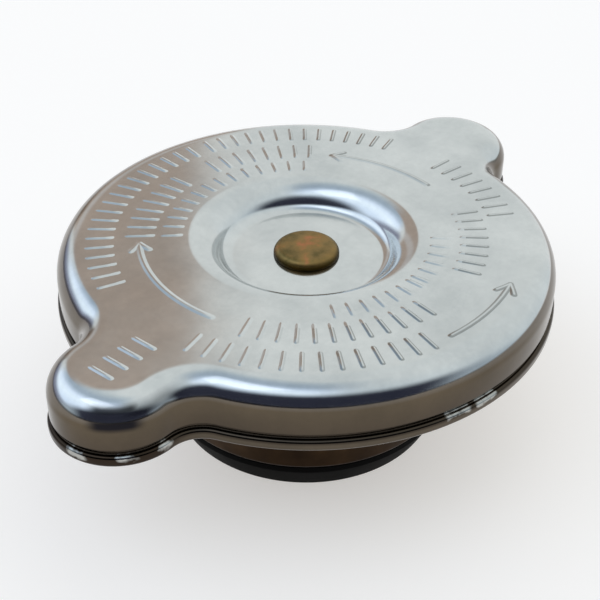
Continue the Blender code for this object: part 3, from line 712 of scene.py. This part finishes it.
def coil(name, radius, wire, low, high, turns, slot, body, node):
    """A compression spring: a wire's round section spun up through its closed, open and closed turns."""
    bm = bmesh.new()
    place = Matrix.Translation((radius * MM, 0, (low + wire / 2) * MM)) @ Matrix.Rotation(pi / 2, 4, "X")
    start = bmesh.ops.create_circle(bm, segments=WIRE_SIDES, radius=wire / 2 * MM, matrix=place)["verts"]
    geom = start + bm.edges[:]
    closed = 1.05 * wire
    pitch = (high - low - wire - 2 * closed) / (turns - 2)
    for rise, count in ((closed, 1), (pitch, turns - 2), (closed, 1)):
        climbing = (0, 0, rise * MM / COIL_STEPS)
        geom = bmesh.ops.spin(
            bm, geom=geom, axis=(0, 0, 1), dvec=climbing, angle=tau * count, steps=COIL_STEPS * count,
        )["geom_last"]
    end = [item for item in geom if isinstance(item, bmesh.types.BMVert)]
    bmesh.ops.contextual_create(bm, geom=start)
    bmesh.ops.contextual_create(bm, geom=end)
    return piece(name, bm, spring_steel, body, slot, node)


spring = coil(
    "wire_pressure_spring", SPRING, SPRING_WIRE, SPRING_LOW, SPRING_HIGH, SPRING_TURNS, "spring_steel", "swivel",
    "pressure_spring",
)
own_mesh(spring)


# The valve cup
# A shallow cup of plated steel, painted dark brown as painted shade and painted reflection under the skirt. Four
# claws are folded in over the cage's flange, so that the cup can rise against the spring but not fall out.

CUP = 19.5
CUP_LEVEL = 4.25
CUP_SHEET = 0.7
CUP_HOLE = 7.95
CUP_RIM = 10.4
CLAW = 17.0
CLAWS = 4
CLAW_FACES = 17
NOTCH_LEVEL = 9.2
CUP_STEPS = 180

# Plated steel painted dark brown: painted shade and a painted reflection of brown ground, for the cup under the
# skirt.
shade_painted_steel, tree, shader, place = worn_metal("shade_painted_brown_steel", 5.0, (0.3, 0.5), 0.25)
clouds = add(tree, "ShaderNodeTexNoise", {"Vector": place, "Scale": 1 / (6.667 * MM), "Detail": 6.0}).outputs["Fac"]
brown_shade_paint = add(tree, "ShaderNodeValToRGB", {"Fac": clouds}, stops=(
    (0.3, "#241910"), (0.5, "#332517"), (0.7, "#483624"),
))
tree.links.new(brown_shade_paint.outputs[0], shader.inputs["Base Color"])


def in_cup(centre):
    """Whether a face belongs to the cup's wall or to a claw and not to a notch between two claws."""
    return centre.z < NOTCH_LEVEL or beside(centre, CLAWS, 0) < CLAW_FACES / 2 * tau / CUP_STEPS


shell = rounded([(CUP_HOLE, CUP_LEVEL, 0), (CUP, CUP_LEVEL, 0.6), (CUP, CUP_RIM, 0.9), (CLAW, CUP_RIM, 0)])
up = [point for point in shell if point.y < NOTCH_LEVEL]
over = [point for point in shell if point.y > NOTCH_LEVEL]
bm = sheet_bell(up + [Vector((CUP, NOTCH_LEVEL))] + over, CUP_STEPS, CUP_SHEET, in_cup)
piece("clawed_cup", bm, shade_painted_steel, "pressure_valve", "zinc_steel", "valve_cup")


# The pressure gasket
# A moulded ring of black rubber under the cup: its thick outer land closes the seat inside the radiator's neck, and
# its thinner web is held by the valve seat's brim.

RING = 19.25
RING_FLANK = 3.4
LAND_OUTER = 17.6
LAND_INNER = 13.3
LAND_ROOT = 12.95
WEB = 2.5

turned(
    "rubber_seal_ring",
    [
        (CUP_HOLE, WEB, 0.1), (LAND_ROOT, WEB, 0.2), (LAND_INNER, 0, 0.4), (LAND_OUTER, 0, 0.4),
        (RING, RING_FLANK, 0.5), (RING, CUP_LEVEL, 0.1), (CUP_HOLE, CUP_LEVEL, 0.1),
    ],
    rubber, "pressure_valve", "rubber", "pressure_gasket",
)


# The valve seat
# A turned-up brass hat: its brim holds the gasket, its neck goes up through the cup into a push-on ring, and the
# vacuum valve closes the vents in its crown.

BRIM = 12.7
BRIM_LEVEL = 1.65
SEAT_SHEET = 0.6
SEAT_BORE = 7.1
CROWN = 6.5
PIN_HOLE = 1.25

brim_top = BRIM_LEVEL + SEAT_SHEET
neck = SEAT_BORE + SEAT_SHEET
under_crown = CROWN - SEAT_SHEET
turned(
    "brass_seat",
    [
        (BRIM, BRIM_LEVEL, 0.15), (BRIM, brim_top, 0.15), (neck, brim_top, 0.1), (neck, CROWN, 0.5),
        (PIN_HOLE, CROWN, 0), (PIN_HOLE, under_crown, 0), (SEAT_BORE, under_crown, 0.1),
        (SEAT_BORE, BRIM_LEVEL, 0.5),
    ],
    tarnished_brass, "pressure_valve", "brass", "valve_seat",
)
dress("seat_retainer", zinc_steel)


# The vacuum valve
# A brass disc and a rubber seal on a headed pin: a light spring holds them up against the seat's vents until the
# cooling radiator draws them down.

VACUUM_DISC = 6.75
DISC_LOW = 3.9
DISC_HIGH = 4.5
DISC_HOLE = 1.15
PIN = 0.9
PIN_HEAD = 1.6
PIN_LOW = 3.15
PIN_HIGH = 11.85
HEAD_HEIGHT = 0.5
PIN_TIP = 1.2
PIN_TIP_LEVEL = 11.8
LIGHT_SPRING = 2.025
LIGHT_WIRE = 0.45
LIGHT_SPRING_LOW = 6.75
LIGHT_SPRING_HIGH = 10.45
LIGHT_SPRING_TURNS = 4

turned(
    "vacuum_disc_plate",
    [
        (DISC_HOLE, DISC_LOW, 0), (VACUUM_DISC, DISC_LOW, 0.2), (VACUUM_DISC, DISC_HIGH, 0.1),
        (DISC_HOLE, DISC_HIGH, 0),
    ],
    tarnished_brass, "vacuum_valve", "brass", "vacuum_disc",
)
turned(
    "vacuum_pin",
    [
        (0, PIN_LOW, 0), (PIN_HEAD, PIN_LOW, 0.25), (PIN_HEAD, PIN_LOW + HEAD_HEIGHT, 0.05),
        (PIN, PIN_LOW + HEAD_HEIGHT, 0), (PIN, PIN_HIGH - HEAD_HEIGHT, 0), (PIN_HEAD, PIN_HIGH - HEAD_HEIGHT, 0.1),
        (PIN_TIP, PIN_TIP_LEVEL, 0.3), (0, PIN_HIGH, 0),
    ],
    tarnished_brass, "vacuum_valve", "brass", "vacuum_stem", open_ends=True,
)
light_spring = coil(
    "wire_vacuum_spring", LIGHT_SPRING, LIGHT_WIRE, LIGHT_SPRING_LOW, LIGHT_SPRING_HIGH, LIGHT_SPRING_TURNS,
    "spring_steel", "pressure_valve", "vacuum_spring",
)
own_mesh(light_spring)
dress("vacuum_seal", rubber)
dress("vacuum_spring_cap", tarnished_brass)


# The floor, the light and the camera
# A plain white floor, a grey studio that is dark towards the camera and brown to the left, one wide soft lamp
# overhead, and the camera where the photograph was taken from.

FOCAL = 1227.6  # in the picture's pixels, as are the next one and the place of the cap's middle in it
FRAME_WIDTH = 600
FRAME_PLACE = (306.7, 231.8)
AXIS_DISTANCE = 154.81
PITCH = radians(35.95)
ROLL = radians(0.51)
SENSOR = 36.0
LAMP_DISTANCE = 0.85

# Matt white board: it shines a little by itself, so that it stays white and keeps the cap's shadow.
white = bpy.data.materials.new("white_floor")
white.use_nodes = True
shader = white.node_tree.nodes["Principled BSDF"]
for name, value in (
    ("Base Color", colour("#D0CCC9")), ("Roughness", 1.0), ("Specular IOR Level", 0.0),
    ("Emission Color", colour("#FFFBF6")), ("Emission Strength", 0.5),
):
    shader.inputs[name].default_value = value
bm = bmesh.new()
bmesh.ops.create_grid(bm, x_segments=1, y_segments=1, size=4)
mesh = bpy.data.meshes.new("floor")
bm.to_mesh(mesh)
bm.free()
mesh.materials.append(white)
floor = bpy.data.objects.new("floor", mesh)
bpy.context.scene.collection.objects.link(floor)

# The studio is painted by direction: by how far a way goes up, to the left of the camera and ahead of it.
studio = bpy.data.worlds.new("studio")
studio.use_nodes = True
bpy.context.scene.world = studio
tree = studio.node_tree
way = add(tree, "ShaderNodeTexCoord").outputs["Generated"]
rise = add(tree, "ShaderNodeVectorMath", {0: way, 1: (0, 0, 1)}, operation="DOT_PRODUCT").outputs["Value"]
leftward = add(tree, "ShaderNodeVectorMath", {0: way, 1: left}, operation="DOT_PRODUCT").outputs["Value"]
forward_share = add(tree, "ShaderNodeVectorMath", {0: way, 1: ahead}, operation="DOT_PRODUCT").outputs["Value"]

# The ceiling is pale grey round its middle, which lies ahead and to the right, and it has a bluish edge. Beyond that
# edge comes the bright window light on the left, and a plainer grey on the right. Far ahead it is one pale grey.
CEILING_MIDDLE = 0.544 * ahead - 0.356 * left + Vector((0, 0, 0.761))

near_middle = add(tree, "ShaderNodeVectorMath", {
    0: way, 1: CEILING_MIDDLE,
}, operation="DOT_PRODUCT").outputs["Value"]
window_side = add(tree, "ShaderNodeValToRGB", {"Fac": near_middle}, stops=(
    (0.0, "#D2E2F6"), (0.3, "#E4F2FF"), (0.46, "#D6E5F8"), (0.56, "#B4C3D6"), (0.66, "#96A5B4"), (0.75, "#98A6B3"),
    (0.83, "#AAB5BC"), (0.9, "#C3C8C9"),
)).outputs[0]
plain_side = add(tree, "ShaderNodeValToRGB", {"Fac": near_middle}, stops=(
    (0.0, "#8C949A"), (0.25, "#B3BEC6"), (0.55, "#BCC4C8"), (0.9, "#C5CACB"),
)).outputs[0]
to_window = add(tree, "ShaderNodeMapRange", {
    "Value": leftward, "From Min": -0.35, "From Max": 0.02,
}, interpolation_type="SMOOTHSTEP").outputs[0]
windowed = add(tree, "ShaderNodeMix", {0: to_window, 6: plain_side, 7: window_side}, data_type="RGBA").outputs[2]
distant = add(tree, "ShaderNodeMapRange", {
    "Value": forward_share, "From Min": 0.64, "From Max": 0.78,
}, interpolation_type="SMOOTHSTEP").outputs[0]
ceiling = add(tree, "ShaderNodeMix", {0: distant, 6: windowed, 7: colour("#C6CACA")}, data_type="RGBA").outputs[2]

# A brown wall stands ahead on the left, from the floor up to the ceiling, with a paler band half-way up.
WALL_END = 0.848 * left - 0.53 * ahead

wall_start = add(tree, "ShaderNodeMapRange", {
    "Value": leftward, "From Min": 0.05, "From Max": 0.1,
}, interpolation_type="SMOOTHSTEP").outputs[0]
to_end = add(tree, "ShaderNodeVectorMath", {0: way, 1: WALL_END}, operation="DOT_PRODUCT").outputs["Value"]
before_end = add(tree, "ShaderNodeMapRange", {
    "Value": to_end, "From Min": 0.04, "From Max": -0.05,
}, interpolation_type="SMOOTHSTEP").outputs[0]
below_ceiling = add(tree, "ShaderNodeMapRange", {
    "Value": rise, "From Min": 0.8, "From Max": 0.62,
}, interpolation_type="SMOOTHSTEP").outputs[0]
in_front = add(tree, "ShaderNodeMapRange", {
    "Value": forward_share, "From Min": 0.0, "From Max": 0.25,
}, interpolation_type="SMOOTHSTEP").outputs[0]
brown = wall_start
for edge in (before_end, below_ceiling, in_front):
    brown = add(tree, "ShaderNodeMath", {0: brown, 1: edge}, operation="MULTIPLY").outputs[0]
band_top = add(tree, "ShaderNodeMapRange", {
    "Value": rise, "From Min": 0.46, "From Max": 0.39,
}, interpolation_type="SMOOTHSTEP").outputs[0]
band_foot = add(tree, "ShaderNodeMapRange", {
    "Value": rise, "From Min": 0.2, "From Max": 0.3,
}, interpolation_type="SMOOTHSTEP").outputs[0]
band = add(tree, "ShaderNodeMath", {0: band_top, 1: band_foot}, operation="MULTIPLY").outputs[0]
wall = add(tree, "ShaderNodeMix", {0: band, 6: colour("#978A80"), 7: colour("#A8A3A0")}, data_type="RGBA").outputs[2]
walled = add(tree, "ShaderNodeMix", {0: brown, 6: ceiling, 7: wall}, data_type="RGBA").outputs[2]

# Low on the far left the room is a dull blue.
blue_side = add(tree, "ShaderNodeMapRange", {
    "Value": leftward, "From Min": 0.5, "From Max": 0.64,
}, interpolation_type="SMOOTHSTEP").outputs[0]
blue_low = add(tree, "ShaderNodeMapRange", {
    "Value": rise, "From Min": 0.38, "From Max": 0.16,
}, interpolation_type="SMOOTHSTEP").outputs[0]
blue = add(tree, "ShaderNodeMath", {0: blue_side, 1: blue_low}, operation="MULTIPLY").outputs[0]
sided = add(tree, "ShaderNodeMix", {0: blue, 6: walled, 7: colour("#777B8C")}, data_type="RGBA").outputs[2]

# Behind the camera the room is dark, and greyer at its two sides.
BACK = -0.682 * ahead - Vector((0, 0, 0.731))

backward = add(tree, "ShaderNodeVectorMath", {0: way, 1: BACK}, operation="DOT_PRODUCT").outputs["Value"]
dark = add(tree, "ShaderNodeMapRange", {
    "Value": backward, "From Min": -0.29, "From Max": 0.08,
}, interpolation_type="SMOOTHSTEP").outputs[0]
sideways = add(tree, "ShaderNodeMath", {0: leftward}, operation="ABSOLUTE").outputs[0]
dark_side = add(tree, "ShaderNodeMapRange", {
    "Value": sideways, "From Min": 0.72, "From Max": 1.0,
}, interpolation_type="SMOOTHSTEP").outputs[0]
shade = add(tree, "ShaderNodeMix", {
    0: dark_side, 6: colour("#282A36"), 7: colour("#97A2AB"),
}, data_type="RGBA").outputs[2]
room = add(tree, "ShaderNodeMix", {0: dark, 6: sided, 7: shade}, data_type="RGBA").outputs[2]
tree.links.new(room, tree.nodes["Background"].inputs["Color"])
tree.nodes["Background"].inputs["Strength"].default_value = 1.6

lamp = bpy.data.lights.new("overhead_softbox", "AREA")
lamp.shape = "RECTANGLE"
lamp.size = 0.5
lamp.size_y = 0.3
lamp.energy = 0.19
lamp.color = colour("#EDF3FF")[:3]
softbox = bpy.data.objects.new("overhead_softbox", lamp)
bpy.context.scene.collection.objects.link(softbox)
softbox.location = (Vector((0, 0, 0.9)) - ahead * 0.24 + left * 0.36) * LAMP_DISTANCE
softbox.rotation_euler = (-softbox.location).to_track_quat("-Z", "Y").to_euler()

# The camera looks down at its pitch, rolled a little, with the middle of the cap's top at its place in the frame.
forward = Vector((0, cos(PITCH), -sin(PITCH)))
level_right = Vector((1, 0, 0))
level_up = level_right.cross(forward)
right = cos(ROLL) * level_right + sin(ROLL) * level_up
above = cos(ROLL) * level_up - sin(ROLL) * level_right
spot = above * ((FRAME_PLACE[1] - FRAME_WIDTH / 2) / FOCAL * AXIS_DISTANCE)
spot -= right * ((FRAME_PLACE[0] - FRAME_WIDTH / 2) / FOCAL * AXIS_DISTANCE)
spot -= forward * AXIS_DISTANCE
turn = Matrix.Rotation(AZIMUTH, 3, "Z")
look = Matrix((turn @ right, turn @ above, turn @ -forward)).transposed().to_4x4()
camera = bpy.data.objects.new("camera", bpy.data.cameras.new("camera"))
bpy.context.scene.collection.objects.link(camera)
camera.matrix_world = Matrix.Translation(turn @ spot * MM + Vector((0, 0, LID * MM))) @ look
camera.data.sensor_width = SENSOR
camera.data.lens = SENSOR * FOCAL / FRAME_WIDTH
camera.data.clip_start = 0.01
camera.data.clip_end = 20.0
bpy.context.scene.camera = camera

bpy.context.scene.view_settings.view_transform = "Standard"
